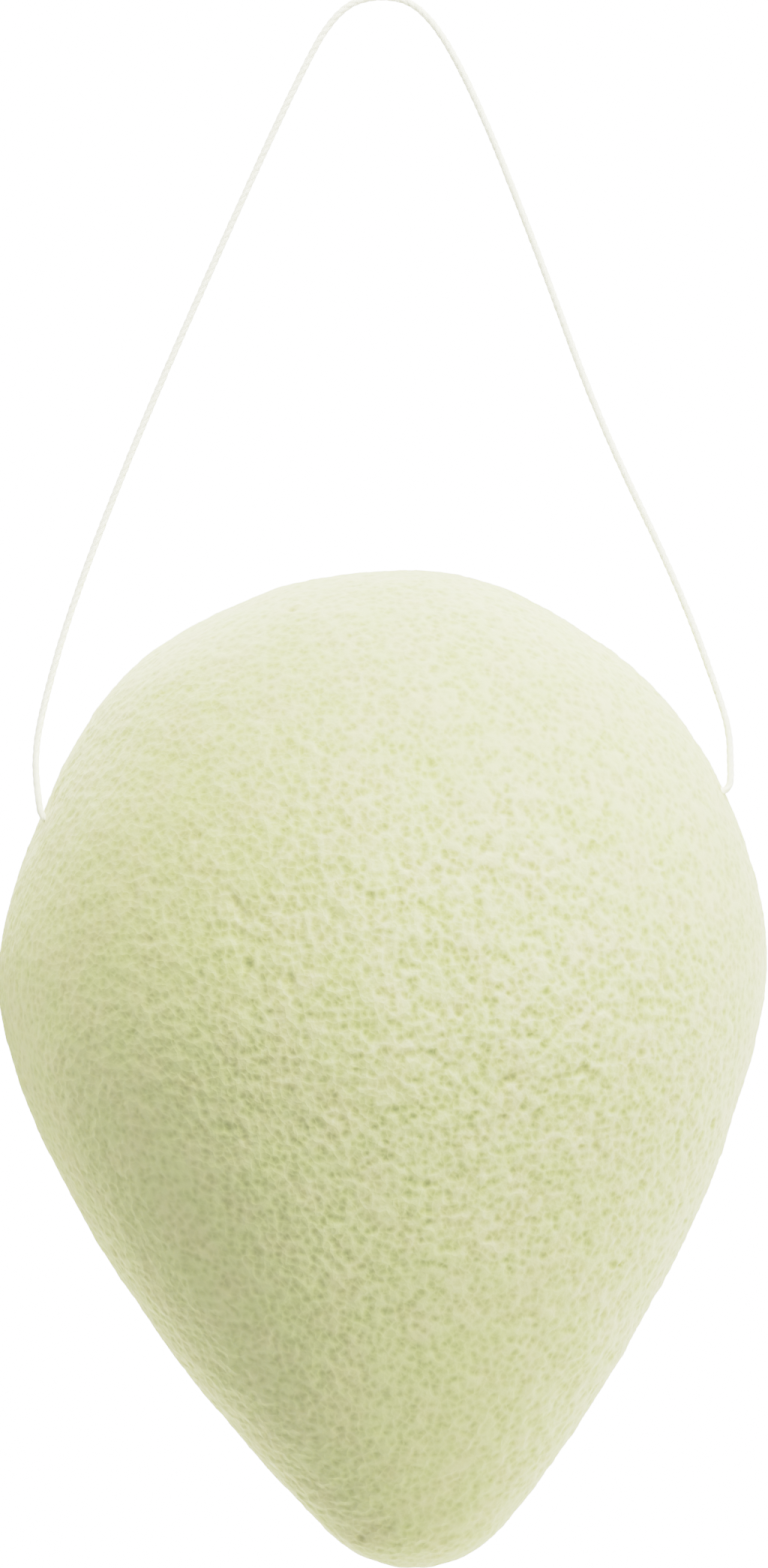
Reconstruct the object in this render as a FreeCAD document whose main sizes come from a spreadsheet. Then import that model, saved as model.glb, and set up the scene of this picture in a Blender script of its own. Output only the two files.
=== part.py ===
"""Drop-shaped konjac foam sponge on a thin hanging string.

Millimetres. +Z is up and the domed front faces -Y. The origin is the hanging point, inside the top
of the string's loop. The string's channel through the foam runs along X straight below it.
"""

import FreeCAD, Part
import math
import os

from enum import IntEnum

from FreeCAD import Placement, Rotation, Vector

import Sketcher

doc = FreeCAD.newDocument("konjac_sponge")

# Driving dimensions

SIZES = [
    # The foam body: a drop, round end up, with a domed front and a flat back
    ("belly_radius", 30.0),  # the round end, whose centre is the belly's
    ("tip_radius", 9.5),
    ("flank_radius", 105.0),  # the long arcs from the belly to the tip
    ("sponge_height", 77.7),
    ("front_depth", 22.0),  # from the rim's plane to the top of the dome
    ("back_depth", 10.0),  # from the rim's plane to the flat back
    ("rim_radius", 8.5),  # the rounding between rim and back
    # The string and the channel that it is threaded through
    ("string_diameter", 0.55),
    ("channel_clearance", 0.05),  # all round the string, in radius
    ("channel_rise", 12.25),  # above the belly's centre
    ("channel_forward", 3.0),  # in front of the rim's plane, over the centre of weight
    ("dimple_radius", 4.0),  # the ball-shaped hollow that the string pulls at each mouth
    ("dimple_depth", 0.5),
    ("exit_inset", 0.7),  # the free stretch starts this far inside the foam's face
    ("elbow_reach", 0.95),  # and turns up this far outside it
    # The knot that closes the loop, hidden in the foam
    ("knot_inset", 15.0),  # from the right mouth to the knot's middle
    ("knot_end", 0.05),  # the core stands proud of the last wrap by this
    ("tail_length", 2.5),
    ("tail_gap", 0.03),  # between a cut tail and the run beside it
    ("knot_clearance", 0.3),  # between the knot and its pocket in the foam
    # The hanging loop
    ("loop_drop", 61.9),  # from the hanging point down to the channel
    ("apex_offset", 3.1),  # the hanging point lies this far right of the sponge's axis
    ("cut_overrun", 1.0),
]
KNOT_WRAPS = 3
WRAP_PITCH_SHARE = 0.9  # of the string's diameter
KNOT_CORE_SHARE = 0.8  # the core's radius, of the string's diameter
ARC_SHARE = 0.45  # of a run, taken up by the bend at each of its ends
VOLUME_TOLERANCE_SHARE = 0.002

# The free stretch between its two elbows, as (x, z) from the hanging point
LOOP_ROUTE = [
    (-31.1, -59.5),
    (-30.4, -54.3),
    (-26.7, -45.8),
    (-20.4, -32.8),
    (-13.8, -19.6),
    (-7.1, -6.9),
    (-3.3, -0.6),
    (0.0, 0.6),
    (3.2, -0.7),
    (6.6, -7.1),
    (11.4, -20.1),
    (15.7, -33.1),
    (21.2, -46.1),
    (24.3, -54.3),
    (24.9, -59.5),
]

sheet = doc.addObject("Spreadsheet::Sheet", "Sizes")
for row, (alias, value) in enumerate(SIZES, start=1):
    sheet.set(f"A{row}", alias)
    sheet.set(f"B{row}", str(value))
    sheet.setAlias(f"B{row}", alias)
doc.recompute()


def size(alias):
    return float(sheet.get(alias))


def bind(thing, **expressions):
    """Ties properties to the sheet. A double underscore in a keyword stands for a dot."""
    for name, expression in expressions.items():
        thing.setExpression(name.replace("__", "."), expression)


def origin_plane(body, role):
    return next(f for f in body.Origin.OriginFeatures if f.Role == role)


# Where the string leaves the foam: half the drop's width there, and the mouth's reach from the axis

CHORD = "sqrt(Sizes.belly_radius^2 - Sizes.channel_rise^2)"
MOUTH = (
    f"({CHORD} * sqrt(1 - (Sizes.channel_forward * Sizes.belly_radius"
    f" / (Sizes.front_depth * {CHORD}))^2))"
)

# The foam body


class DropOutline:
    """The drop's three centres and tangent points, about the belly's centre, from the driving sizes."""

    def __init__(self):
        self.belly = size("belly_radius")
        self.tip = size("tip_radius")
        self.flank = size("flank_radius")
        self.tip_drop = size("sponge_height") - self.belly - self.tip
        to_belly = self.flank - self.belly
        to_tip = self.flank - self.tip
        fall = (to_belly**2 - to_tip**2 + self.tip_drop**2) / (2 * self.tip_drop)
        reach = math.sqrt(to_belly**2 - fall**2)
        self.flank_centre = Vector(-reach, -fall, 0)
        self.upper_angle = math.atan2(fall, reach)
        self.lower_angle = math.atan2(fall - self.tip_drop, reach)

    def arc(self, centre, radius, start, end):
        circle = Part.Circle(centre, Vector(0, 0, 1), radius)
        return Part.ArcOfCircle(circle, start, end)


def constrain(sketch, kind, *where, expression=None):
    index = sketch.addConstraint(Sketcher.Constraint(kind, *where))
    if expression:
        sketch.setExpression(f"Constraints[{index}]", expression)


def sketch_on_rim(body, name):
    """A sketch in the rim's plane, with X to the right and Z up."""
    sketch = body.newObject("Sketcher::SketchObject", name)
    sketch.AttachmentSupport = (origin_plane(body, "XZ_Plane"), [""])
    sketch.MapMode = "FlatFace"
    return sketch


TIP_DROP = "Sizes.sponge_height - Sizes.belly_radius - Sizes.tip_radius"


class Spot(IntEnum):
    """The point of a sketch element that a constraint takes hold of."""

    START = 1
    END = 2
    CENTRE = 3


class SketchAxis(IntEnum):
    """A sketch's own axes. The first one starts at its origin."""

    ACROSS = -1
    UPRIGHT = -2


SKETCH_ORIGIN = (SketchAxis.ACROSS, Spot.START)


def half_profile(body):
    """Right half of the drop, closed along its axis, to be turned into the front dome."""
    drop = DropOutline()
    sketch = sketch_on_rim(body, "half_profile")
    tip_centre = Vector(0, -drop.tip_drop, 0)
    belly = sketch.addGeometry(drop.arc(Vector(), drop.belly, drop.upper_angle, math.pi / 2))
    flank = sketch.addGeometry(
        drop.arc(drop.flank_centre, drop.flank, drop.lower_angle, drop.upper_angle)
    )
    tip = sketch.addGeometry(drop.arc(tip_centre, drop.tip, -math.pi / 2, drop.lower_angle))
    top = Vector(0, drop.belly, 0)
    bottom = tip_centre - Vector(0, drop.tip, 0)
    axis = sketch.addGeometry(Part.LineSegment(bottom, top))
    constrain(sketch, "Coincident", belly, Spot.CENTRE, *SKETCH_ORIGIN)
    constrain(sketch, "PointOnObject", tip, Spot.CENTRE, SketchAxis.UPRIGHT)
    constrain(sketch, "Tangent", belly, Spot.START, flank, Spot.END)
    constrain(sketch, "Tangent", flank, Spot.START, tip, Spot.END)
    constrain(sketch, "Coincident", axis, Spot.START, tip, Spot.START)
    constrain(sketch, "Coincident", axis, Spot.END, belly, Spot.END)
    constrain(sketch, "PointOnObject", axis, Spot.START, SketchAxis.UPRIGHT)
    constrain(sketch, "PointOnObject", axis, Spot.END, SketchAxis.UPRIGHT)
    constrain(sketch, "Radius", belly, drop.belly, expression="Sizes.belly_radius")
    constrain(sketch, "Radius", flank, drop.flank, expression="Sizes.flank_radius")
    constrain(sketch, "Radius", tip, drop.tip, expression="Sizes.tip_radius")
    constrain(sketch, "DistanceY", tip, Spot.CENTRE, *SKETCH_ORIGIN, drop.tip_drop, expression=TIP_DROP)
    return sketch


def full_outline(body):
    """The whole drop in the rim's plane, to be padded into the back."""
    drop = DropOutline()
    sketch = sketch_on_rim(body, "full_outline")
    tip_centre = Vector(0, -drop.tip_drop, 0)
    left_centre = Vector(-drop.flank_centre.x, drop.flank_centre.y, 0)
    belly = sketch.addGeometry(
        drop.arc(Vector(), drop.belly, drop.upper_angle, math.pi - drop.upper_angle)
    )
    left = sketch.addGeometry(
        drop.arc(left_centre, drop.flank, math.pi - drop.upper_angle, math.pi - drop.lower_angle)
    )
    tip = sketch.addGeometry(
        drop.arc(tip_centre, drop.tip, math.pi - drop.lower_angle, 2 * math.pi + drop.lower_angle)
    )
    right = sketch.addGeometry(
        drop.arc(drop.flank_centre, drop.flank, drop.lower_angle, drop.upper_angle)
    )
    constrain(sketch, "Coincident", belly, Spot.CENTRE, *SKETCH_ORIGIN)
    constrain(sketch, "PointOnObject", tip, Spot.CENTRE, SketchAxis.UPRIGHT)
    constrain(sketch, "Tangent", belly, Spot.END, left, Spot.START)
    constrain(sketch, "Tangent", left, Spot.END, tip, Spot.START)
    constrain(sketch, "Tangent", tip, Spot.END, right, Spot.START)
    constrain(sketch, "Tangent", right, Spot.END, belly, Spot.START)
    constrain(sketch, "Radius", belly, drop.belly, expression="Sizes.belly_radius")
    constrain(sketch, "Radius", tip, drop.tip, expression="Sizes.tip_radius")
    for side in (left, right):
        constrain(sketch, "Radius", side, drop.flank, expression="Sizes.flank_radius")
    constrain(sketch, "DistanceY", tip, Spot.CENTRE, *SKETCH_ORIGIN, drop.tip_drop, expression=TIP_DROP)
    return sketch


def front_dome():
    """The drop's half turned about its axis, then flattened front to back to the dome's depth."""
    body = doc.addObject("PartDesign::Body", "front_form")
    profile = half_profile(body)
    turned = body.newObject("PartDesign::Revolution", "front_turned")
    turned.Profile = profile
    turned.ReferenceAxis = (profile, ["V_Axis"])
    turned.Angle = 180
    doc.recompute()
    if turned.Shape.BoundBox.YMax > turned.Shape.BoundBox.YLength / 2:
        turned.Reversed = True
    dome = doc.addObject("Part::Scale", "front_dome")
    dome.Base = body
    dome.Uniform = False
    bind(dome, YScale="Sizes.front_depth / Sizes.belly_radius")
    return dome


def flat_back():
    """The drop's outline padded back from the rim, with its back edge well rounded."""
    body = doc.addObject("PartDesign::Body", "back_form")
    outline = full_outline(body)
    pad = body.newObject("PartDesign::Pad", "back_pad")
    pad.Profile = outline
    pad.Reversed = True
    bind(pad, Length="Sizes.back_depth")
    doc.recompute()
    back_y = size("back_depth")
    rim_edges = [
        f"Edge{number}"
        for number, edge in enumerate(pad.Shape.Edges, start=1)
        if math.isclose(edge.BoundBox.YMin, back_y, abs_tol=edge.Tolerance)
    ]
    rounded = body.newObject("PartDesign::Fillet", "back_rim")
    rounded.Base = (pad, rim_edges)
    bind(rounded, Radius="Sizes.rim_radius")
    return body


STRING_RADIUS = "Sizes.string_diameter / 2"
BORE_RADIUS = f"({STRING_RADIUS} + Sizes.channel_clearance)"
ALONG_X = Rotation(Vector(0, 1, 0), 90)


def rod(name, radius, length, start_x, height="0 mm", forward="0 mm"):
    """A cylinder along X, with every size an expression."""
    made = doc.addObject("Part::Cylinder", name)
    made.Placement = Placement(Vector(), ALONG_X)
    bind(made, Radius=radius, Height=length, Placement__Base__x=start_x)
    bind(made, Placement__Base__y=forward, Placement__Base__z=height)
    return made


# The knot: its wraps, core and tails, measured along X from the knot's middle

WRAP_RADIUS = "Sizes.string_diameter"
WRAP_PITCH = f"{WRAP_PITCH_SHARE} * Sizes.string_diameter"
LAST_WRAP = f"{(KNOT_WRAPS - 1) / 2} * {WRAP_PITCH}"
HALF_KNOT = f"({LAST_WRAP} + {STRING_RADIUS} + Sizes.knot_end)"
KNOT_X = f"({MOUTH} - Sizes.knot_inset)"


def foam_cuts():
    """The channel, the knot's pocket and the dimple at each mouth, about the belly's centre."""
    rise = "Sizes.channel_rise"
    forward = "-Sizes.channel_forward"
    past_mouth = f"({MOUTH} + Sizes.cut_overrun)"
    channel = rod("channel", BORE_RADIUS, f"2 * {past_mouth}", f"-{past_mouth}", rise, forward)
    half_pocket = f"({HALF_KNOT} + Sizes.tail_length + Sizes.knot_clearance)"
    pocket = rod(
        "knot_pocket",
        f"{WRAP_RADIUS} + {STRING_RADIUS} + Sizes.knot_clearance",
        f"2 * {half_pocket}",
        f"{KNOT_X} - {half_pocket}",
        rise,
        forward,
    )
    cuts = [channel, pocket]
    stand_off = "(Sizes.dimple_radius - Sizes.dimple_depth)"
    for name, side in (("left_dimple", "-1"), ("right_dimple", "1")):
        dimple = doc.addObject("Part::Sphere", name)
        bind(
            dimple,
            Radius="Sizes.dimple_radius",
            Placement__Base__x=f"{side} * ({MOUTH} + {stand_off} * {CHORD} / Sizes.belly_radius)",
            Placement__Base__y=forward,
            Placement__Base__z=f"{rise} + {stand_off} * {rise} / Sizes.belly_radius",
        )
        cuts.append(dimple)
    return cuts


def sponge_body():
    blank = doc.addObject("Part::MultiFuse", "foam_blank")
    blank.Shapes = [front_dome(), flat_back()]
    blank.Refine = False
    cutters = doc.addObject("Part::MultiFuse", "foam_cutters")
    cutters.Shapes = foam_cuts()
    foam = doc.addObject("Part::Cut", "foam")
    foam.Label = "sponge_body"
    foam.Base = blank
    foam.Tool = cutters
    bind(
        foam,
        Placement__Base__x="-Sizes.apex_offset",
        Placement__Base__y="Sizes.channel_forward",
        Placement__Base__z="-Sizes.loop_drop - Sizes.channel_rise",
    )
    return foam


# The string


def string_knot():
    """A barrel knot: wraps side by side on a core, and a cut tail from each last wrap along its run."""
    knot_x = f"({KNOT_X} - Sizes.apex_offset)"
    height = "-Sizes.loop_drop"
    core = rod(
        "knot_core",
        f"{KNOT_CORE_SHARE} * Sizes.string_diameter",
        f"2 * {HALF_KNOT}",
        f"{knot_x} - {HALF_KNOT}",
        height,
    )
    pieces = [core]
    for wrap in range(KNOT_WRAPS):
        step = wrap - (KNOT_WRAPS - 1) / 2
        ring = doc.addObject("Part::Torus", f"knot_wrap_{wrap + 1}")
        ring.Placement = Placement(Vector(), ALONG_X)
        bind(
            ring,
            Radius1=WRAP_RADIUS,
            Radius2=STRING_RADIUS,
            Placement__Base__x=f"{knot_x} + {step} * {WRAP_PITCH}",
            Placement__Base__z=height,
        )
        pieces.append(ring)
    beside = "(Sizes.string_diameter + Sizes.tail_gap)"
    tail_end = f"({HALF_KNOT} + Sizes.tail_length)"
    tail = f"({tail_end} - {LAST_WRAP})"
    tails = (
        ("knot_tail_left", f"{knot_x} - {tail_end}", f"{height} - {beside}"),
        ("knot_tail_right", f"{knot_x} + {LAST_WRAP}", f"{height} + {beside}"),
    )
    for name, start, tail_height in tails:
        pieces.append(rod(name, STRING_RADIUS, tail, start, tail_height))
    knot = doc.addObject("Part::MultiFuse", "knot")
    knot.Label = "string_knot"
    knot.Shapes = pieces
    return knot


def inner_runs():
    """The string inside the channel, from each mouth to the knot."""
    inset_mouth = f"({MOUTH} - Sizes.exit_inset)"
    left_start = f"-{inset_mouth}"
    left_end = f"({KNOT_X} - {HALF_KNOT})"
    right_start = f"({KNOT_X} + {HALF_KNOT})"
    spans = (
        ("inner_run_left", left_start, f"{left_end} - ({left_start})"),
        ("inner_run_right", right_start, f"{inset_mouth} - {right_start}"),
    )
    runs = []
    for name, start, length in spans:
        run = rod(name, STRING_RADIUS, length, f"{start} - Sizes.apex_offset", "-Sizes.loop_drop")
        run.Label = name
        runs.append(run)
    return runs


def loop_points(left_run, right_run):
    """The free stretch's route: on from the left run, up, over the hanging point and down to the right."""
    elbow_run = Vector(size("exit_inset") + size("elbow_reach"), 0, 0)
    start = left_run.Placement.Base
    end = right_run.Placement.Base + Vector(right_run.Height.Value, 0, 0)
    free = [Vector(x, 0, z) for x, z in LOOP_ROUTE]
    return [start, start - elbow_run, *free, end + elbow_run, end]


def rounded_path(points):
    """Straight runs joined by tangent arcs, each as large as its two runs allow."""
    edges = []
    radii = []
    last = points[0]
    for before, corner, after in zip(points, points[1:], points[2:]):
        towards = (after - corner).normalize()
        back = (before - corner).normalize()
        half_turn = (math.pi - towards.getAngle(back)) / 2
        setback = ARC_SHARE * min((before - corner).Length, (after - corner).Length)
        radius = setback / math.tan(half_turn)
        entry = corner + back * setback
        leave = corner + towards * setback
        to_centre = (towards + back).normalize()
        middle = corner + to_centre * (radius / math.cos(half_turn) - radius)
        edges.append(Part.LineSegment(last, entry).toShape())
        edges.append(Part.Arc(entry, middle, leave).toShape())
        radii.append(radius)
        last = leave
    edges.append(Part.LineSegment(last, points[-1]).toShape())
    return Part.Wire(edges), radii


def hanging_loop(left_run, right_run):
    path, radii = rounded_path(loop_points(left_run, right_run))
    radius = size("string_diameter") / 2
    start = path.OrderedVertexes[0].Point
    section = Part.Wire(Part.Circle(start, Vector(1, 0, 0), radius).toShape())
    tube = path.makePipeShell([section], True, False)
    expected = math.pi * radius**2 * path.Length
    print("loop length", round(path.Length, 2), "radii", [round(r, 2) for r in radii])
    print("loop volume", round(tube.Volume, 3), "section times length", round(expected, 3))
    if abs(tube.Volume - expected) > VOLUME_TOLERANCE_SHARE * expected:
        raise RuntimeError("the loop's tube isn't its section times its length")
    loop = doc.addObject("Part::Feature", "loop")
    loop.Label = "hanging_loop"
    loop.Shape = tube
    loop.Placement = Placement()
    return loop


# Build, check and write

runs = inner_runs()
sub_parts = [sponge_body(), string_knot(), *runs]
doc.recompute()
sub_parts.append(hanging_loop(*runs))
doc.recompute()

for thing in doc.Objects:
    if "Invalid" in thing.State or "Error" in thing.State:
        raise RuntimeError(f"{thing.Name} failed: {thing.State}")
for sub_part in sub_parts:
    shape = sub_part.Shape
    if shape.isNull() or not shape.isValid() or len(shape.Solids) != 1:
        raise RuntimeError(f"{sub_part.Label} isn't one valid solid")

os.makedirs("parts", exist_ok=True)
for sub_part in sub_parts:
    sub_part.Shape.exportStep(f"parts/{sub_part.Label}.step")
    box = sub_part.Shape.optimalBoundingBox(False, False)
    corners = [box.XMin, box.YMin, box.ZMin, box.XMax, box.YMax, box.ZMax]
    print(sub_part.Label, "volume", round(sub_part.Shape.Volume, 2), [round(v, 2) for v in corners])
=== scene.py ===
# %% [markdown]
# # A konjac sponge on its string
# This lesson dresses one small object: a drop of pale green konjac foam, domed in front and flat
# behind, that hangs from a loop of thin cotton string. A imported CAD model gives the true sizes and
# the one hinge, where the foam swings on the string. Everything here is in metres, in that frame.

# %% Load the frame
import math

import bpy
import numpy as np
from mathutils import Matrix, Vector


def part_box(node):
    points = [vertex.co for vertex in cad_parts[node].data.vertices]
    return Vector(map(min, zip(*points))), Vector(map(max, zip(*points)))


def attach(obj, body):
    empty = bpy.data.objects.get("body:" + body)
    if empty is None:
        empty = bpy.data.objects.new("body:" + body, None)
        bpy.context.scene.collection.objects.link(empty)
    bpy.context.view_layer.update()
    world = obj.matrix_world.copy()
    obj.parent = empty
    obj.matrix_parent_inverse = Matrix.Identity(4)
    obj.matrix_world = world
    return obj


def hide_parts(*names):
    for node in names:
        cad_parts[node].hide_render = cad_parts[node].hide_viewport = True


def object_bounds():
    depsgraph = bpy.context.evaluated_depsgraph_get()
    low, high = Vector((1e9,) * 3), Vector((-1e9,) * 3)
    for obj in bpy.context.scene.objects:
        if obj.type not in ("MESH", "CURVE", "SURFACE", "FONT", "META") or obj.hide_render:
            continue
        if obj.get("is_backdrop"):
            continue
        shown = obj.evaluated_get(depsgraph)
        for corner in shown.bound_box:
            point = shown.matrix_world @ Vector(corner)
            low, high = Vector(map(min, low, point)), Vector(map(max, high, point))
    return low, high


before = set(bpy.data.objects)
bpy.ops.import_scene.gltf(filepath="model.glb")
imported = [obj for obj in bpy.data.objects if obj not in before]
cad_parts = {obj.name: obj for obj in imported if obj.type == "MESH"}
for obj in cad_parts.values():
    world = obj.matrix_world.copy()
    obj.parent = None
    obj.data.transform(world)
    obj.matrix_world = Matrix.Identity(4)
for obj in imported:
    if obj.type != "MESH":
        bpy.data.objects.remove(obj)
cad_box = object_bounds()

MM = 0.001
print("CAD box", [[round(c / MM, 2) for c in corner] for corner in cad_box])

# %% Sizes of the drop
foam_low, foam_high = (Vector(corner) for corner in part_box("sponge_body"))
BELLY_RADIUS = (foam_high.x - foam_low.x) / 2
TIP_RADIUS = 9.5 * MM
FLANK_RADIUS = 105.0 * MM
RIM_Y = 3.0 * MM  # the plane in which the drop is widest
RIM_ROUNDING = 8.5 * MM
FRONT_DEPTH = RIM_Y - foam_low.y
BACK_DEPTH = foam_high.y - RIM_Y
BELLY = Vector(((foam_low.x + foam_high.x) / 2, RIM_Y, foam_high.z - BELLY_RADIUS))
CHANNEL_Z = -61.9 * MM  # the string's channel runs along X at this height, at y = 0
print("belly radius", round(BELLY_RADIUS / MM, 2), "centre", [round(c / MM, 2) for c in BELLY])

# %% [markdown]
# ## The camera
# The photograph looks straight at the domed front, and the sponge hangs a little askew in it. The
# part itself is modelled upright, so the camera is rolled instead. A long lens from 0.6 m keeps the
# outline as flat as it is in a product picture.

# %% Camera
PICTURE_ROLL = math.radians(2.6)
CAMERA_DISTANCE = 0.6  # from the rim's plane
PICTURE_HEIGHT = 122.2 * MM  # what the picture shows of the rim's plane, top to bottom
PICTURE_X = -2.43 * MM
PICTURE_Z = -60.66 * MM

bpy.ops.object.select_all(action="DESELECT")
bpy.ops.object.camera_add(
    location=(PICTURE_X, RIM_Y - CAMERA_DISTANCE, PICTURE_Z),
    rotation=(math.pi / 2, PICTURE_ROLL, 0),
)
camera = bpy.context.object
camera.data.lens = camera.data.sensor_width * CAMERA_DISTANCE / PICTURE_HEIGHT
bpy.context.scene.camera = camera
print("lens", round(camera.data.lens, 1), "mm")

# %% [markdown]
# ## Light and backdrop
# The picture is high-key: a white surround, a soft light from the upper right, another from above,
# and light from behind that makes the edges pale. Softboxes are area lights aimed at the sponge.
# The white surround is the world. It shows white, but hardly lights the foam, as a backdrop that
# stands far behind it would. The floor is a pale sweep that shows equally bright from every side.

# %% Softboxes
LIGHT_DISTANCE = 0.8
SOFTBOX_SIZE = 0.5
SPONGE_CENTRE = (foam_low + foam_high) / 2
SOFTBOXES = [
    # (name, direction from the sponge, power in watts)
    ("top_light", (0.20, -0.54, 0.82), 5.2),
    ("key_light", (0.50, -0.29, 0.82), 4.5),
    ("front_fill_light", (0.34, -0.94, 0.0), 4.0),
    ("right_rim_light", (0.89, 0.42, 0.17), 3.4),
    ("left_rim_light", (-0.89, 0.42, 0.17), 6.9),
    ("low_rim_light", (0.25, 0.43, -0.87), 6.5),
    ("top_rim_light", (0.0, 0.64, 0.77), 6.9),
]


def softbox(name, direction, power):
    """An area light that looks back along direction at the sponge."""
    away = Vector(direction).normalized()
    bpy.ops.object.light_add(type="AREA", location=SPONGE_CENTRE + away * LIGHT_DISTANCE)
    lamp = bpy.context.object
    lamp.name = name
    lamp.rotation_euler = away.to_track_quat("Z", "Y").to_euler()
    lamp.data.size = SOFTBOX_SIZE
    lamp.data.energy = power
    return lamp


for name, direction, power in SOFTBOXES:
    softbox(name, direction, power)
print("studio light from", len(SOFTBOXES), "softboxes")

# %% White surround
AMBIENT_STRENGTH = 0.02
FULL_WHITE = 4.0  # the light that the camera shows as pure white
world = bpy.data.worlds.new("white_surround")
world.use_nodes = True
bpy.context.scene.world = world


def set_inputs(node, values):
    for name, value in values.items():
        node.inputs[name].default_value = value


surround = world.node_tree.nodes["Background"]
seen_by = world.node_tree.nodes.new("ShaderNodeLightPath")
strength = world.node_tree.nodes.new("ShaderNodeMapRange")
set_inputs(surround, {"Color": (1, 1, 1, 1)})
set_inputs(strength, {"To Min": AMBIENT_STRENGTH, "To Max": FULL_WHITE})
world.node_tree.links.new(seen_by.outputs["Is Camera Ray"], strength.inputs["Value"])
world.node_tree.links.new(strength.outputs["Result"], surround.inputs["Strength"])
print("surround shows", FULL_WHITE, "and lights with", AMBIENT_STRENGTH)

# %% Pale floor
FLOOR_DROP = 1000.0 * MM
FLOOR_SIZE = 3.0
FLOOR_PAINT = (0.92, 0.92, 0.91, 1)
FLOOR_BRIGHTNESS = 3.4  # a pale sweep, as bright from every side
MATT = 0.9  # the roughness of floor, cotton and foam


def new_material(name):
    """A node material: the material, its node tree and its main shader."""
    material = bpy.data.materials.new(name)
    material.use_nodes = True
    tree = material.node_tree
    return material, tree, tree.nodes["Principled BSDF"]


def floor_material():
    material, tree, paint = new_material("pale_floor_paint")
    set_inputs(paint, {"Base Color": FLOOR_PAINT, "Roughness": MATT})
    glow = tree.nodes.new("ShaderNodeEmission")
    set_inputs(glow, {"Strength": FLOOR_BRIGHTNESS})
    seen_by = tree.nodes.new("ShaderNodeLightPath")
    mix = tree.nodes.new("ShaderNodeMixShader")
    tree.links.new(seen_by.outputs["Is Camera Ray"], mix.inputs["Fac"])
    tree.links.new(paint.outputs["BSDF"], mix.inputs[1])
    tree.links.new(glow.outputs["Emission"], mix.inputs[2])
    tree.links.new(mix.outputs["Shader"], tree.nodes["Material Output"].inputs["Surface"])
    return material


bpy.ops.mesh.primitive_plane_add(size=FLOOR_SIZE, location=(0, 0, foam_low.z - FLOOR_DROP))
floor = bpy.context.object
floor.name = "pale_floor"
floor.data.materials.append(floor_material())
floor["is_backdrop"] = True
print("floor", round(FLOOR_DROP / MM), "mm below the tip")

# %% [markdown]
# ## The camera's response
# A camera doesn't clip bright light, it squeezes it: near white, colours fade. That is why the lit
# side of the sponge looks almost white and its shade a clear green, though the foam has one colour.
# A curve in the scene's colour management does the same: straight up to a middle grey, then an
# ever flatter shoulder.

# %% Camera response
STRAIGHT_TO = 0.5
CURVE_STOPS = (0.25, 0.5, 0.6, 0.7, 0.85, 1.0, 1.25, 1.5, 2.0, 2.5, 3.2)


def response(light):
    """What the picture shows for this much light, from 0 to 1."""
    over = max(light - STRAIGHT_TO, 0) / (1 - STRAIGHT_TO)
    full = (FULL_WHITE - STRAIGHT_TO) / (1 - STRAIGHT_TO)
    shoulder = over * (1 + over / full**2) / (1 + over)
    return min(light, STRAIGHT_TO) + (1 - STRAIGHT_TO) * shoulder


view = bpy.context.scene.view_settings
view.view_transform = "Standard"
view.use_curve_mapping = True
view.curve_mapping.extend = "HORIZONTAL"
view.curve_mapping.white_level = (FULL_WHITE,) * 3
shared_curve = view.curve_mapping.curves[3]
for light in CURVE_STOPS:
    shared_curve.points.new(light / FULL_WHITE, response(light))
view.curve_mapping.update()
print("response", {light: round(response(light), 3) for light in CURVE_STOPS})

# %% [markdown]
# ## The string's line
# The string is thin cotton, pulled tight by the sponge's weight from the foam over a hook and back.
# Its line is one NURBS curve through the CAD model's route. A given list of points keeps the
# small bends that a limp string shows, and the curve smooths them.

# %% The string's line
STRING_DIAMETER = 0.55 * MM
LEFT_MOUTH_X = -26.2 * MM  # where the loop goes over into the run inside the foam
RIGHT_MOUTH_X = 21.3 * MM
LOOP_ROUTE = [
    (-26.2, -61.9),
    (-27.3, -62.2),
    (-29.05, -62.5),
    (-29.33, -60.0),
    (-29.4, -57.4),
    (-28.75, -54.0),
    (-26.1, -45.9),
    (-20.4, -33.0),
    (-13.8, -19.7),
    (-7.1, -6.6),
    (-3.5, -0.5),
    (0.0, 0.6),
    (3.5, -0.6),
    (6.9, -7.1),
    (11.4, -20.1),
    (15.5, -33.3),
    (21.2, -46.6),
    (23.9, -55.2),
    (24.5, -57.8),
    (24.5, -60.0),
    (24.4, -62.5),
    (22.7, -62.25),
    (21.3, -61.9),
]  # (x, z) in millimetres, in the plane y = 0
LINE_STEPS = 48  # points read per route point
STRAND_STEP = 0.14 * MM


def distance_along(line):
    """How far along the line each of its points lies."""
    return np.concatenate([[0], np.cumsum(np.linalg.norm(np.diff(line, axis=0), axis=1))])


def smooth_line(name, points):
    """Points along a NURBS curve with these control points, evenly spaced."""
    curve = bpy.data.curves.new(name, "CURVE")
    curve.dimensions = "3D"
    spline = curve.splines.new("NURBS")
    spline.points.add(len(points) - 1)
    for spot, point in zip(spline.points, points):
        spot.co = (*point, 1)
    spline.order_u = 3
    spline.use_endpoint_u = True
    spline.resolution_u = LINE_STEPS
    holder = bpy.data.objects.new(name, curve)
    read = bpy.data.meshes.new_from_object(holder)
    line = np.array([vertex.co for vertex in read.vertices])
    bpy.data.objects.remove(holder)
    bpy.data.curves.remove(curve)
    bpy.data.meshes.remove(read)
    along = distance_along(line)
    even = np.linspace(0, along[-1], max(2, round(along[-1] / STRAND_STEP)))
    return np.stack([np.interp(even, along, line[:, axis]) for axis in range(3)], axis=1)


def line_length(line):
    return float(distance_along(line)[-1])


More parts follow.
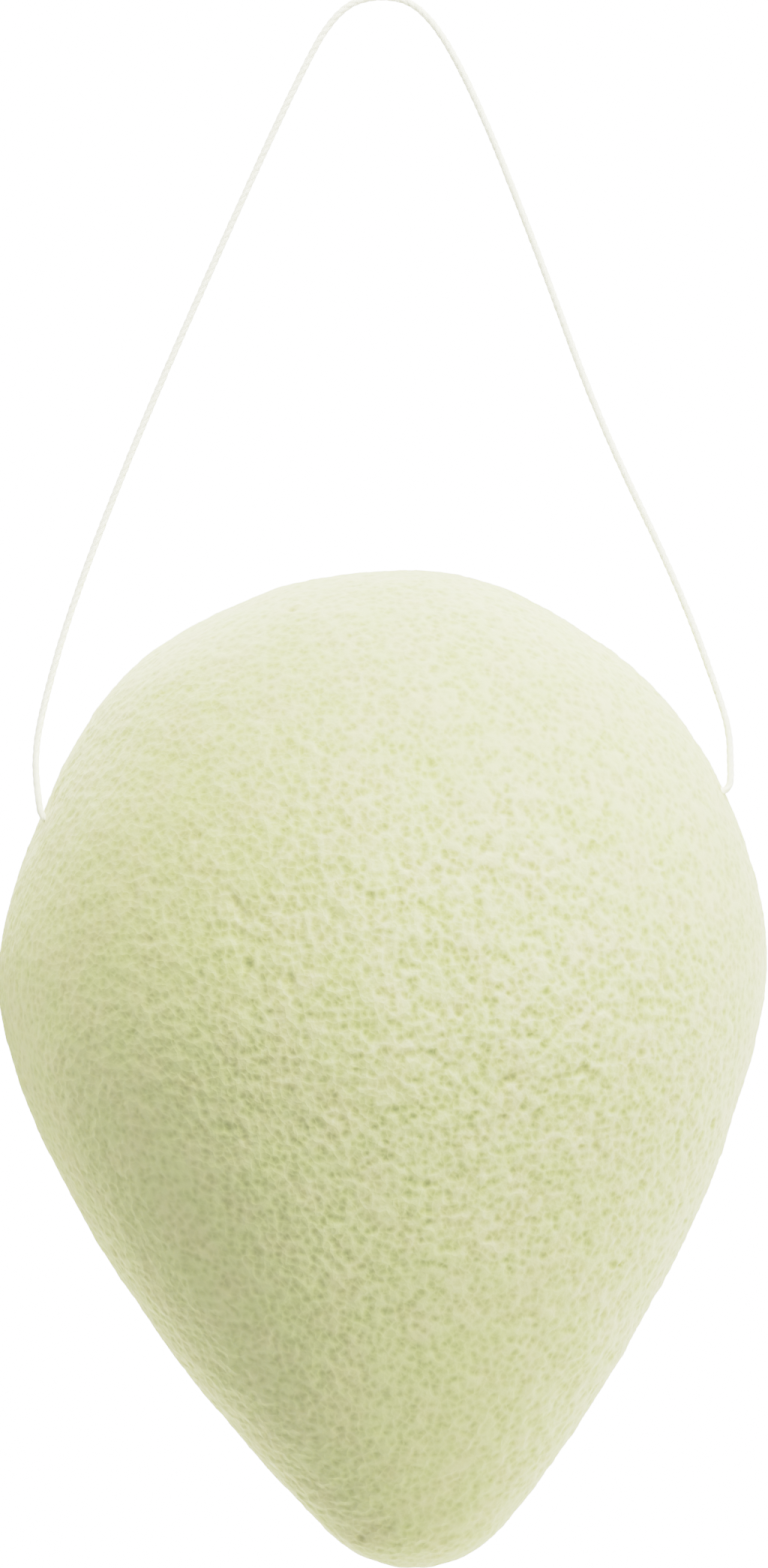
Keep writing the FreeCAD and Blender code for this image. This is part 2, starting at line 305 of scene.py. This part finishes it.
loop_line = smooth_line("loop_line", [(x * MM, 0, z * MM) for x, z in LOOP_ROUTE])
print("loop", round(line_length(loop_line) / MM, 1), "mm in", len(loop_line), "points")

# %% [markdown]
# ## Twisted plies
# Cotton string is three plies laid round each other. A plain tube would look like wire, so each ply
# is a thin tube of its own that winds round the line. Curves with a round bevel are the quickest
# way to sweep such tubes, and converting them gives one mesh that can be measured and exported.

# %% Three-ply string
PLIES = 3
PLY_PITCH = 2.1 * MM
PLY_RADIUS = 0.2 * MM  # soft plies, pressed into each other
PLY_OFFSET = STRING_DIAMETER / 2 - PLY_RADIUS
PLY_ROUNDING = 2  # bevel steps per quarter of a ply


def only_active(piece):
    bpy.ops.object.select_all(action="DESELECT")
    piece.select_set(True)
    bpy.context.view_layer.objects.active = piece


def frames_along(line):
    """Two directions square to the line at each point, carried along without twisting."""
    ahead = np.gradient(line, axis=0)
    ahead /= np.linalg.norm(ahead, axis=1, keepdims=True)
    side = np.cross(ahead[0], (0, 1, 0))  # no line here starts along Y
    sides = []
    for direction in ahead:
        side = side - direction * np.dot(side, direction)
        side = side / np.linalg.norm(side)
        sides.append(side)
    sides = np.array(sides)
    return sides, np.cross(ahead, sides)


def twisted_string(name, line):
    """A mesh of plies that wind round the line."""
    side, up = frames_along(line)
    along = distance_along(line)
    curve = bpy.data.curves.new(name, "CURVE")
    curve.dimensions = "3D"
    curve.bevel_depth = PLY_RADIUS
    curve.bevel_resolution = PLY_ROUNDING
    curve.use_fill_caps = True
    for ply in range(PLIES):
        turn = (2 * math.pi * (along / PLY_PITCH + ply / PLIES))[:, None]
        strand = line + PLY_OFFSET * (np.cos(turn) * side + np.sin(turn) * up)
        spline = curve.splines.new("POLY")
        spline.points.add(len(strand) - 1)
        spline.points.foreach_set("co", np.column_stack([strand, np.ones(len(strand))]).ravel())
        spline.use_smooth = True
    piece = bpy.data.objects.new(name, curve)
    bpy.context.collection.objects.link(piece)
    only_active(piece)
    bpy.ops.object.convert(target="MESH")
    piece = bpy.context.object
    print(name, len(piece.data.polygons), "faces")
    return piece


loop_string = twisted_string("loop_string", loop_line)

# %% [markdown]
# ## Inside the foam
# The string runs on through the foam and is closed by a small barrel knot, which nobody sees. It is
# still made: someone may take the part to pieces. The knot's coil is a helix worked out by a loop.

# %% Inner runs and knot
KNOT_X = (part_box("string_knot")[0][0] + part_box("string_knot")[1][0]) / 2
KNOT_WRAPS = 3
KNOT_STEPS_PER_WRAP = 24
KNOT_RADIUS = STRING_DIAMETER
KNOT_PITCH = 0.9 * STRING_DIAMETER
TAIL_LENGTH = 2.5 * MM


def straight_line(start_x, end_x):
    count = max(2, round(abs(end_x - start_x) / STRAND_STEP))
    return np.array([(x, 0, CHANNEL_Z) for x in np.linspace(start_x, end_x, count)])


def knot_route():
    """A tail, the wraps round the run, and the other tail."""
    half = KNOT_WRAPS * KNOT_PITCH / 2
    steps = KNOT_WRAPS * KNOT_STEPS_PER_WRAP
    coil = []
    for step in range(steps + 1):
        turn = 2 * math.pi * step / KNOT_STEPS_PER_WRAP - math.pi / 2
        x = KNOT_X - half + KNOT_PITCH * step / KNOT_STEPS_PER_WRAP
        coil.append((x, KNOT_RADIUS * math.cos(turn), CHANNEL_Z + KNOT_RADIUS * math.sin(turn)))
    first, last = coil[0], coil[-1]
    start_tail = (first[0] - TAIL_LENGTH, first[1], first[2])
    end_tail = (last[0] + TAIL_LENGTH, last[1], last[2])
    return [start_tail, *coil, end_tail]


left_run = twisted_string("left_inner_string", straight_line(LEFT_MOUTH_X, KNOT_X))
right_run = twisted_string("right_inner_string", straight_line(KNOT_X, RIGHT_MOUTH_X))
knot = twisted_string("string_barrel_knot", smooth_line("knot_line", knot_route()))

# %% [markdown]
# ## Cotton
# Undyed cotton is a warm white and quite matt, with a soft halo of fibres. A little sheen stands
# for that halo, and a fine noise breaks up the colour and the surface. The thin string gets little
# of the light that is set for the foam, so it has a softbox of its own that reaches nothing else.
# A photographer would hold black cards beside that light, and Blender has light linking for it.

# %% Cotton material
COTTON_SHADE = (0.91, 0.90, 0.68)
COTTON_LIGHT = (0.96, 0.95, 0.75)
COTTON_MOTTLE = 0.8 * MM
FIBRE_SIZE = 0.06 * MM
FIBRE_DEPTH = 0.02 * MM


def noise(tree, size):
    """A noise on Object coordinates, with features of about this size."""
    place = tree.nodes.new("ShaderNodeTexCoord")
    grain = tree.nodes.new("ShaderNodeTexNoise")
    set_inputs(grain, {"Scale": 1 / size})
    tree.links.new(place.outputs["Object"], grain.inputs["Vector"])
    return grain.outputs["Fac"]


def ramp(tree, value, *stops):
    """A colour ramp over a value: stops are (position, colour)."""
    node = tree.nodes.new("ShaderNodeValToRGB")
    marks = node.color_ramp.elements
    while len(marks) < len(stops):
        marks.new(0.5)
    for mark, (position, colour) in zip(marks, stops):
        mark.position = position
        mark.color = (*colour, 1)
    tree.links.new(value, node.inputs["Fac"])
    return node.outputs["Color"]


def bump(tree, shader, height, distance, amount):
    node = tree.nodes.new("ShaderNodeBump")
    set_inputs(node, {"Distance": distance, "Strength": amount})
    tree.links.new(height, node.inputs["Height"])
    tree.links.new(node.outputs["Normal"], shader.inputs["Normal"])


def cotton_material():
    material, tree, shader = new_material("undyed_cotton")
    mottle = noise(tree, COTTON_MOTTLE)
    colour = ramp(tree, mottle, (0.3, COTTON_SHADE), (0.7, COTTON_LIGHT))
    tree.links.new(colour, shader.inputs["Base Color"])
    gloss = {"Roughness": MATT, "Specular IOR Level": 0.25}
    halo = {"Sheen Weight": 0.3, "Sheen Roughness": 0.5}
    set_inputs(shader, {**gloss, **halo})
    bump(tree, shader, noise(tree, FIBRE_SIZE), FIBRE_DEPTH, amount=0.6)
    return material


cotton = cotton_material()
print("material", cotton.name)

# %% Dress the string
STRING_LIGHT_DIRECTION = (0.1, -0.85, 0.5)
STRING_LIGHT_POWER = 5.0

string_pieces = bpy.data.collections.new("string_pieces")
for piece in (loop_string, left_run, right_run, knot):
    string_pieces.objects.link(piece)
    piece.data.materials.append(cotton)
    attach(piece, "string")
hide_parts("hanging_loop")
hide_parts("inner_run_left")
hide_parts("inner_run_right")
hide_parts("string_knot")
string_light = softbox("string_light", STRING_LIGHT_DIRECTION, STRING_LIGHT_POWER)
string_light.light_linking.receiver_collection = string_pieces
print("string dressed in", cotton.name, "with a light of its own")

# %% [markdown]
# ## The foam's form
# The sponge is moulded: a drop turned about its long axis, flattened front to back, with a flat,
# well-rounded back. By hand it takes one vertex, spun round three centres to draw the profile, and
# a last spin to turn it. The turned drop is cut at its widest plane, flattened, and its flat side
# is extruded and bevelled into the back.

# %% Profile and turned drop
PROFILE_STEPS = 28
TURN_STEPS = 96
NEAR = 0.01 * MM  # what lies closer than this counts as one place


def drop_centres():
    """Where the tip's and the flank's arcs have their centres, and the two tangent angles.

    Falls are measured down from the belly's centre, and reach is measured across from it.
    """
    tip_fall = foam_high.z - foam_low.z - BELLY_RADIUS - TIP_RADIUS
    to_belly = FLANK_RADIUS - BELLY_RADIUS
    to_tip = FLANK_RADIUS - TIP_RADIUS
    fall = (to_belly**2 - to_tip**2 + tip_fall**2) / (2 * tip_fall)
    reach = math.sqrt(to_belly**2 - fall**2)
    upper = math.atan2(fall, reach)
    lower = math.atan2(fall - tip_fall, reach)
    return tip_fall, fall, reach, upper, lower


def turned_drop():
    tip_fall, fall, reach, upper, lower = drop_centres()
    top = BELLY + Vector((0, 0, BELLY_RADIUS))
    bpy.ops.object.select_all(action="DESELECT")
    bpy.ops.mesh.primitive_circle_add(vertices=3, radius=MM, location=(0, 0, 0))
    drop = bpy.context.object
    drop.name = "konjac_foam"
    bpy.ops.object.mode_set(mode="EDIT")
    bpy.ops.mesh.merge(type="CENTER")
    bpy.ops.transform.translate(value=top)
    flank_centre = BELLY + Vector((-reach, 0, -fall))
    tip_centre = BELLY + Vector((0, 0, -tip_fall))
    arcs = [
        (BELLY, math.pi / 2 - upper),
        (flank_centre, upper - lower),
        (tip_centre, lower + math.pi / 2),
    ]
    for centre, angle in arcs:
        bpy.ops.mesh.spin(steps=PROFILE_STEPS, angle=angle, center=centre, axis=(0, -1, 0))
    bpy.ops.mesh.select_all(action="SELECT")
    bpy.ops.mesh.spin(steps=TURN_STEPS, angle=2 * math.pi, center=BELLY, axis=(0, 0, 1))
    bpy.ops.mesh.select_all(action="SELECT")
    bpy.ops.mesh.remove_doubles(threshold=NEAR)
    bpy.ops.mesh.normals_make_consistent(inside=False)
    bpy.ops.object.mode_set(mode="OBJECT")
    return drop


def tell(label, piece):
    extent = [round(d / MM, 2) for d in piece.dimensions]
    print(label, extent, "mm", len(piece.data.polygons), "faces")


foam = turned_drop()
tell("turned drop", foam)

# %% Domed front, flat back
BACK_ROUNDING_STEPS = 10
CUT_TOLERANCE = 0.001 * MM
FACING = 0.9  # how much of a unit normal has to point along an axis


def select_faces(piece, wanted):
    """In edit mode, selects the faces whose normal and centre pass the test, and nothing else."""
    bpy.ops.mesh.select_all(action="DESELECT")
    bpy.ops.object.mode_set(mode="OBJECT")
    for face in piece.data.polygons:
        face.select = wanted(face.normal, face.center)
    bpy.ops.object.mode_set(mode="EDIT")


def flatten_and_back(drop):
    only_active(drop)
    bpy.ops.object.mode_set(mode="EDIT")
    bpy.ops.mesh.select_mode(type="FACE")
    bpy.ops.mesh.select_all(action="SELECT")
    bpy.ops.mesh.bisect(
        plane_co=BELLY, plane_no=(0, 1, 0), use_fill=True, clear_outer=True, threshold=CUT_TOLERANCE
    )
    bpy.ops.mesh.select_all(action="SELECT")
    flat_share = FRONT_DEPTH / BELLY_RADIUS
    bpy.ops.transform.resize(value=(1, flat_share, 1), center_override=BELLY)
    select_faces(drop, lambda normal, centre: normal.y > FACING and abs(centre.y - RIM_Y) < NEAR)
    bpy.ops.mesh.extrude_region_move(TRANSFORM_OT_translate={"value": (0, BACK_DEPTH, 0)})
    bpy.ops.mesh.region_to_loop()
    bpy.ops.mesh.bevel(offset=RIM_ROUNDING, segments=BACK_ROUNDING_STEPS, clamp_overlap=False)
    bpy.ops.mesh.select_all(action="SELECT")
    bpy.ops.mesh.normals_make_consistent(inside=False)
    bpy.ops.object.mode_set(mode="OBJECT")


flatten_and_back(foam)
tell("half drop", foam)

# %% [markdown]
# ## An even skin
# Pores need a mesh that is equally fine all over, and a turned shape is crowded at its poles. A
# voxel remesh lays an even skin over the form, and a few rounds of smoothing take its steps out.

# %% Even skin
SKIN_STEP = 0.27 * MM


def apply_modifier(piece, kind, **settings):
    only_active(piece)
    modifier = piece.modifiers.new(kind.lower(), kind)
    for name, value in settings.items():
        setattr(modifier, name, value)
    bpy.ops.object.modifier_apply(modifier=modifier.name)


apply_modifier(foam, "REMESH", mode="VOXEL", voxel_size=SKIN_STEP, use_smooth_shade=True)
apply_modifier(foam, "SMOOTH", factor=0.5, iterations=6)
tell("even skin", foam)

# %% [markdown]
# ## Pulled in by the string
# The string is tied tight, so the shoulders give way where it enters, the left one most, and the
# tip hangs a little to the right. These are sculptor's moves: each grabs the skin near a point and
# shifts it, fading out with distance. The two small ones at the left mouth are a dimple that leaves
# the string room when the sponge swings.

# %% Grabs
def read_spots(piece):
    spots = np.empty(len(piece.data.vertices) * 3, dtype=np.float32)
    piece.data.vertices.foreach_get("co", spots)
    return spots.reshape(-1, 3)


def write_spots(piece, spots):
    piece.data.vertices.foreach_set("co", np.ascontiguousarray(spots, dtype=np.float32).ravel())
    piece.data.update()


def fade(distance, reach):
    """1 at no distance, falling smoothly to 0 at reach."""
    hold = np.clip(1 - distance / reach, 0, 1)
    return hold * hold * (3 - 2 * hold)


def grab(piece, centre, reach, shift):
    """Shifts the skin round a point, fading out at reach. All in mm from the belly."""
    spots = read_spots(piece)
    away = np.linalg.norm(spots - np.array(BELLY) - np.array(centre) * MM, axis=1)
    hold = fade(away, reach * MM)
    write_spots(piece, spots + hold[:, None] * np.array(shift) * MM)


GRABS = [
    # (centre, reach, shift) in millimetres from the belly's centre
    ((-28, -2, 14.5), 17, (1.35, 0, 0)),
    ((-26, -3, 12), 5, (0.25, 0, 0)),
    ((-26, 4, 13), 5, (0.15, 0, 0)),
    ((28, -2, 14), 20, (-0.4, 0, 0)),
    ((-15, 0, 27), 12, (0.1, 0, -0.2)),
    ((8, 0, 31), 13, (0.2, 0, 0.3)),
    ((18, 0, 24), 11, (-0.15, 0, -0.2)),
    ((-9, 0, 29), 8, (0.05, 0, -0.1)),
    ((-17, -2, -32), 18, (0.45, 0, 0)),
    ((29, -2, -9), 12, (-0.25, 0, 0)),
    ((-8, 0, -43), 15, (0.6, 0, 0.2)),
    ((8, 0, -42), 12, (0.35, 0, 0)),
    ((-3, 0, -47), 7, (0.05, 0, 0.15)),
]
for centre, reach, shift in GRABS:
    grab(foam, centre, reach, shift)
print("sculpted with", len(GRABS), "grabs")

# %% [markdown]
# ## Pores
# Konjac foam is full of small cells. At the surface they show as soft pits between thin, wandering
# ridges, and here and there a larger pore stands open. A bump alone would leave the outline smooth,
# so these are geometry: Displace modifiers push the skin along its normals. A cell noise that grows
# from each cell's middle gives round pits, and a ramp keeps only the middles for the open pores.
# Towards the rim, where the foam lay against its mould, the pits are shallower: there the skin is
# more closed than in the middle of the dome.

# %% Displacement
def displace(piece, name, kind, size, depth, middle, span=None, **settings):
    """Pushes the skin out by depth times a texture. Span is what it stretches from 0 to 1."""
    pattern = bpy.data.textures.new(name, kind)
    pattern.noise_scale = size
    for key, value in settings.items():
        setattr(pattern, key, value)
    if span:
        pattern.use_color_ramp = True
        pattern.color_ramp.interpolation = "EASE"
        black, white = pattern.color_ramp.elements
        black.position, white.position = span
        black.color, white.color = (0, 0, 0, 1), (1, 1, 1, 1)
    apply_modifier(
        piece, "DISPLACE", texture=pattern, texture_coords="LOCAL", strength=depth, mid_level=middle
    )


SOFT_NOISE = {"kind": "CLOUDS", "middle": 0.5, "noise_depth": 1}
displace(foam, "broad_lumps", size=9.0 * MM, depth=0.4 * MM, **SOFT_NOISE)
displace(foam, "small_lumps", size=2.2 * MM, depth=0.1 * MM, **SOFT_NOISE)
lumpy_spots = read_spots(foam)
displace(
    foam,
    "cell_pits",
    kind="DISTORTED_NOISE",
    size=0.95 * MM,
    depth=0.1 * MM,
    middle=0.0,
    noise_basis="VORONOI_F1",
    noise_distortion="BLENDER_ORIGINAL",
    distortion=0.5,
)
displace(foam, "fine_grain", size=0.6 * MM, depth=0.1 * MM, **SOFT_NOISE)
displace(
    foam,
    "open_pores",
    kind="VORONOI",
    size=4.5 * MM,
    depth=0.22 * MM,
    middle=1.0,
    span=(0.03, 0.15),
)
porous_spots = read_spots(foam)
tell("porous skin", foam)

# %% Closed towards the rim
OPEN_MIDDLE = (8.0, -6.0)  # across and up from the belly, in millimetres
OPEN_REACH = 35.0
OPEN_STRETCH = 0.7  # the open patch is long: up and down counts for less
CLOSED_SHARE, OPEN_SHARE = 0.6, 1.3

across, upward = ((lumpy_spots - np.array(BELLY)) / MM)[:, [0, 2]].T
off_middle = np.hypot(across - OPEN_MIDDLE[0], OPEN_STRETCH * (upward - OPEN_MIDDLE[1]))
openness = CLOSED_SHARE + (OPEN_SHARE - CLOSED_SHARE) * fade(off_middle, OPEN_REACH)
porous_spots = lumpy_spots + (porous_spots - lumpy_spots) * openness[:, None]
write_spots(foam, porous_spots)
print("pore depth from", openness.min().round(2), "to", openness.max().round(2))

# %% Values for the material
RIDGE_ENDS = (2, 98)  # percentiles of the relief that count as pit and ridge
normals = np.empty(len(foam.data.vertices) * 3, dtype=np.float32)
foam.data.vertices.foreach_get("normal", normals)
relief = np.einsum("ij,ij->i", porous_spots - lumpy_spots, normals.reshape(-1, 3))
low, high = np.percentile(relief, RIDGE_ENDS)
ridge = np.clip((relief - low) / (high - low), 0, 1)
for name, values in (("ridge", ridge), ("openness", openness / OPEN_SHARE)):
    attribute = foam.data.attributes.new(name, "FLOAT", "POINT")
    attribute.data.foreach_set("value", values.astype(np.float32))
print("relief from", round(float(low) / MM, 3), "to", round(float(high) / MM, 3), "mm")

# %% [markdown]
# ## Foam material
# The foam is a pale yellow-green. Its pits are painted darker and greener, as painted shade, and its
# ridges paler, as a painted highlight. It lets light in a little way, which softens the shading. The
# ridge value that the displacement left on each vertex drives this painted shade and highlight,
# together with cells that are too fine for the mesh. Where the skin is more closed, the painted pits
# and ridges draw towards one plain green. A broad noise adds faint greener and beige patches, and a
# sheen stands for the fuzz of the cut cells.

# %% Fine cells
CELL_SIZE = 0.65 * MM
CELL_WANDER = 0.5 * MM


def wandering_cells(tree, size, wander):
    """Distance from the nearest cell's middle, from 0 in a pit to about 0.8 on the walls."""
    place = tree.nodes.new("ShaderNodeTexCoord")
    drift = tree.nodes.new("ShaderNodeTexNoise")
    set_inputs(drift, {"Scale": 1 / size})
    tree.links.new(place.outputs["Object"], drift.inputs["Vector"])
    moved = tree.nodes.new("ShaderNodeVectorMath")
    moved.operation = "MULTIPLY_ADD"
    moved.inputs[1].default_value = (wander,) * 3
    tree.links.new(drift.outputs["Color"], moved.inputs[0])
    tree.links.new(place.outputs["Object"], moved.inputs[2])
    cells = tree.nodes.new("ShaderNodeTexVoronoi")
    set_inputs(cells, {"Scale": 1 / size})
    tree.links.new(moved.outputs["Vector"], cells.inputs["Vector"])
    return cells.outputs["Distance"]


foam_green, foam_tree, foam_shader = new_material("konjac_foam_green")
fine_cells = wandering_cells(foam_tree, CELL_SIZE, CELL_WANDER)
print("fine cells of about", CELL_SIZE / MM, "mm")

# %% Foam colour
# The pit colour is painted shade and the ridge colour a painted highlight; the plain foam green lies
# between them.
PIT_PAINTED_SHADE = (0.485, 0.525, 0.235)
FOAM_GREEN = (0.65, 0.68, 0.335)
RIDGE_PAINTED_HIGHLIGHT = (0.79, 0.815, 0.47)
RIDGE_SHARE = 0.4
PATCH_SIZE = 3.0 * MM
GREENER, AS_IT_IS, BEIGER = (0.98, 1.0, 0.96), (1.0, 1.0, 1.0), (1.03, 0.99, 1.03)


def blend_in(tree, first, second, share):
    """first and second added up, with share of the second."""
    node = tree.nodes.new("ShaderNodeMath")
    node.operation = "MULTIPLY_ADD"
    node.inputs[1].default_value = share
    tree.links.new(second, node.inputs[0])
    tree.links.new(first, node.inputs[2])
    return node.outputs["Value"]


def mixed(tree, mode, share, first, second):
    """A colour mix. Each of share, first and second is a value or another node's output."""
    node = tree.nodes.new("ShaderNodeMix")
    node.data_type = "RGBA"
    node.blend_type = mode
    for socket, given in ((0, share), (6, first), (7, second)):
        if isinstance(given, bpy.types.NodeSocket):
            tree.links.new(given, node.inputs[socket])
        else:
            node.inputs[socket].default_value = given
    return node.outputs[2]


def vertex_value(tree, name):
    node = tree.nodes.new("ShaderNodeAttribute")
    node.attribute_name = name
    return node.outputs["Fac"]


# Relief and fine cells paint shade into the pits and a highlight onto the ridges.
height = blend_in(foam_tree, fine_cells, vertex_value(foam_tree, "ridge"), RIDGE_SHARE)
relief_painted_light = ramp(foam_tree, height, (0.1, PIT_PAINTED_SHADE), (0.5, FOAM_GREEN), (0.9, RIDGE_PAINTED_HIGHLIGHT))
open_share = vertex_value(foam_tree, "openness")
skin_green = mixed(foam_tree, "MIX", open_share, (*FOAM_GREEN, 1), relief_painted_light)
broad = noise(foam_tree, PATCH_SIZE)
patches = ramp(foam_tree, broad, (0.35, GREENER), (0.5, AS_IT_IS), (0.65, BEIGER))
patchy_green = mixed(foam_tree, "MULTIPLY", 1.0, skin_green, patches)
foam_tree.links.new(patchy_green, foam_shader.inputs["Base Color"])
print("foam colour from", len(foam_tree.nodes), "nodes")

# %% Foam surface
CELL_BUMP = 0.25 * MM
GLOSS = {"Roughness": MATT, "Specular IOR Level": 0.2}
FUZZ = {"Sheen Weight": 0.5, "Sheen Tint": (1.0, 0.97, 0.7, 1), "Sheen Roughness": 0.6}
LIGHT_INSIDE = {
    "Subsurface Weight": 0.3,
    "Subsurface Radius": (1.0, 0.9, 0.5),
    "Subsurface Scale": 2.0 * MM,
}
set_inputs(foam_shader, {**GLOSS, **FUZZ, **LIGHT_INSIDE})
bump(foam_tree, foam_shader, fine_cells, CELL_BUMP, amount=0.35)
print("material", foam_green.name)

# %% Dress the foam
foam.data.materials.clear()
foam.data.materials.append(foam_green)
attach(foam, "sponge")
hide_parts("sponge_body")
print("foam", len(foam.data.vertices), "vertices")

# %% Finish
boxes = {"cad": cad_box, "visual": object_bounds()}
boxes = {name: [[float(c) for c in corner] for corner in box] for name, box in boxes.items()}
for name, box in boxes.items():
    print(name, [[round(c / MM, 2) for c in corner] for corner in box])
